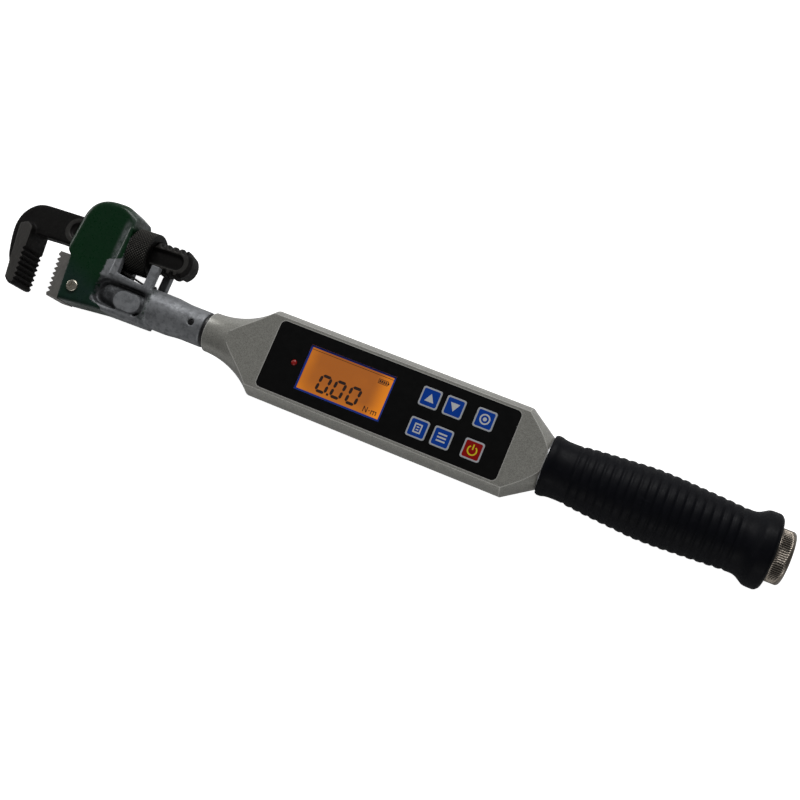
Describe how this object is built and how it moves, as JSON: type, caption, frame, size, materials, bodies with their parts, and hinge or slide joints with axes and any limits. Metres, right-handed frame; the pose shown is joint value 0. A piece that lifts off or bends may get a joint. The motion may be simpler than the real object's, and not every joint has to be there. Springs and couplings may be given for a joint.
{
  "type": "torque wrench",
  "caption": "Digital torque wrench: adjustable pipe-wrench head, lit display with keys, ribbed rubber grip, screw end cap.",
  "frame": {"origin": "on the tool axis, at the tooth crests of the heel jaw", "axes": "+X along the tool axis from the head to the end cap, +Y towards the shank of the hook jaw, +Z out of the display side"},
  "size_m": [0.4487, 0.0717, 0.0388],
  "materials": {
    "painted_casting": "glossy green enamel over grey cast iron, bare at the rear",
    "jaw_steel": "ground grey steel",
    "bright_steel": "bright plated steel",
    "black_forging": "black oxide forging with bare ground flats",
    "black_knurl": "black oxide, diamond knurl",
    "spring_steel": "spring steel",
    "beam_steel": "ground steel",
    "dark_steel": "blackened steel",
    "black_rubber": "satin black moulded rubber",
    "gauge_foil": "foil on film",
    "silver_paint": "silver metallic paint",
    "black_panel": "gloss black film",
    "blue_key": "blue key with a light border",
    "red_key": "red key with a light border",
    "switch_plastic": "moulded plastic",
    "board_green": "solder mask",
    "backlight_plastic": "white diffuser",
    "lcd_orange": "orange lit display with dark segments",
    "clear_window": "clear",
    "red_lamp": "red lamp",
    "wire_cover": "wire insulation",
    "tube_alloy": "satin",
    "liner_plastic": "moulded plastic",
    "cell_can": "printed cell sleeve, plain",
    "contact_brass": "plated spring contact",
    "nickel": "nickel plate, straight knurl"
  },
  "bodies": {
    "tool": {"head_housing": "painted_casting", "heel_jaw": "jaw_steel", "heel_jaw_pin": "bright_steel", "flat_spring_rivet": "spring_steel", "jaw_coil_spring": "spring_steel", "sensor_beam": "beam_steel", "detent_spring": "spring_steel", "nose_ring": "black_rubber", "strain_gauges": "gauge_foil", "beam_screws": "dark_steel", "body_housing": "silver_paint", "front_panel": "black_panel", "key_switches": "switch_plastic", "circuit_board": "board_green", "board_screws": "dark_steel", "backlight": "backlight_plastic", "lcd_module": "lcd_orange", "display_window": "clear_window", "status_lamp": "red_lamp", "processor": "switch_plastic", "buzzer": "switch_plastic", "gauge_wires": "wire_cover", "battery_wires": "wire_cover", "handle_tube": "tube_alloy", "tube_screws": "dark_steel", "grip_sleeve": "black_rubber", "battery_liner": "liner_plastic", "battery_cells": "cell_can", "contact_carrier": "liner_plastic", "front_contact": "contact_brass", "cap_seal": "black_rubber"},
    "jaw_cradle": {"jaw_flat_spring": "spring_steel"},
    "nut": {"adjusting_nut": "black_knurl"},
    "hook": {"hook_jaw": "black_forging"},
    "detent": {"detent_pin": "dark_steel"},
    "cap_carrier": {"contact_plate": "contact_brass", "contact_spring": "contact_brass"},
    "cap": {"end_cap": "nickel"},
    "key_up_button": {"key_up": "blue_key"},
    "key_down_button": {"key_down": "blue_key"},
    "key_set_button": {"key_set": "blue_key"},
    "key_print_button": {"key_print": "blue_key"},
    "key_mode_button": {"key_mode": "blue_key"},
    "key_power_button": {"key_power": "red_key"}
  },
  "joints": [
    {"name": "jaw_rock", "type": "hinge", "parent": "tool", "child": "jaw_cradle", "pos_m": [0.0542, 0.0097, 0], "axis": [0, 0, 1], "range_deg": [0, 1.5], "stiffness_Nm_per_rad": 1.5, "deforming": ["jaw_coil_spring"]},
    {"name": "nut_spin", "type": "hinge", "parent": "jaw_cradle", "child": "nut", "pos_m": [0.0426, 0.02705, 0], "axis": [0.9988, 0.0489, 0], "range_deg": [-1639.82, 1148.53]},
    {"name": "jaw_slide", "type": "slide", "parent": "jaw_cradle", "child": "hook", "axis": [0.9988, 0.0489, 0], "range_m": [-0.0135, 0.0193]},
    {"name": "detent_press", "type": "slide", "parent": "tool", "child": "detent", "axis": [0, 0, -1], "range_m": [0, 0.0029], "stiffness_N_per_m": 900, "deforming": ["detent_spring"]},
    {"name": "cap_slide", "type": "slide", "parent": "tool", "child": "cap_carrier", "axis": [1, 0, 0], "range_m": [-0.0001, 0.0091], "deforming": ["contact_spring"]},
    {"name": "cap_spin", "type": "hinge", "parent": "cap_carrier", "child": "cap", "pos_m": [0.408, 0, 0], "axis": [1, 0, 0], "range_deg": [0, 2160]},
    {"name": "press_up", "type": "slide", "parent": "tool", "child": "key_up_button", "axis": [0, 0, -1], "range_m": [0, 0.0004], "stiffness_N_per_m": 2000},
    {"name": "press_down", "type": "slide", "parent": "tool", "child": "key_down_button", "axis": [0, 0, -1], "range_m": [0, 0.0004], "stiffness_N_per_m": 2000},
    {"name": "press_set", "type": "slide", "parent": "tool", "child": "key_set_button", "axis": [0, 0, -1], "range_m": [0, 0.0004], "stiffness_N_per_m": 2000},
    {"name": "press_print", "type": "slide", "parent": "tool", "child": "key_print_button", "axis": [0, 0, -1], "range_m": [0, 0.0004], "stiffness_N_per_m": 2000},
    {"name": "press_mode", "type": "slide", "parent": "tool", "child": "key_mode_button", "axis": [0, 0, -1], "range_m": [0, 0.0004], "stiffness_N_per_m": 2000},
    {"name": "press_power", "type": "slide", "parent": "tool", "child": "key_power_button", "axis": [0, 0, -1], "range_m": [0, 0.0004], "stiffness_N_per_m": 2000}
  ],
  "couplings": [
    {"joint": "nut_spin", "follows": "jaw_slide", "rad_per_m": -1478.4},
    {"joint": "cap_slide", "follows": "cap_spin", "m_per_rad": 0.00023873}
  ]
}
